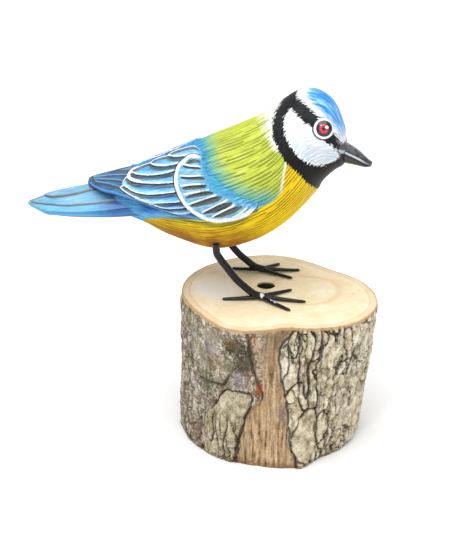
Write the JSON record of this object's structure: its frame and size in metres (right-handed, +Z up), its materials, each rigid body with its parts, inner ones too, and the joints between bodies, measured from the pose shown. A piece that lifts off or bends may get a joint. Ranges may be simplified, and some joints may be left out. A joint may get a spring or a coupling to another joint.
{
  "type": "carved wooden blue tit figure on a log",
  "caption": "Life-size painted bird carved in wood, standing on bent wire legs on a short barked log with a drilled top.",
  "frame": {"origin": "middle of the log's flat foot", "axes": "+X the way the bird faces, +Y the bird's left, +Z up from the foot"},
  "size_m": [0.1229, 0.0687, 0.1257],
  "materials": {
    "paint_body": "carved wood, hand-painted yellow and green, satin",
    "paint_head": "carved wood, hand-painted blue, white and black, satin",
    "paint_tail": "carved wood, hand-painted sky blue, satin",
    "paint_wing": "carved wood, hand-painted blue, green and grey, satin",
    "bill": "painted black, gloss",
    "eye": "painted bead, gloss",
    "wire": "steel wire, black enamel",
    "log_wood": "bare sanded wood",
    "bark": "natural bark"
  },
  "bodies": {
    "root": {"torso": "paint_body", "head": "paint_head", "tail": "paint_tail", "wing_left": "paint_wing", "wing_right": "paint_wing", "bill": "bill", "eye_left": "eye", "eye_right": "eye", "leg_left": "wire", "leg_right": "wire", "foot_left": "wire", "foot_right": "wire", "log_wood": "log_wood", "bark_1": "bark", "bark_2": "bark", "bark_3": "bark", "bark_4": "bark", "bark_5": "bark"}
  },
  "joints": []
}
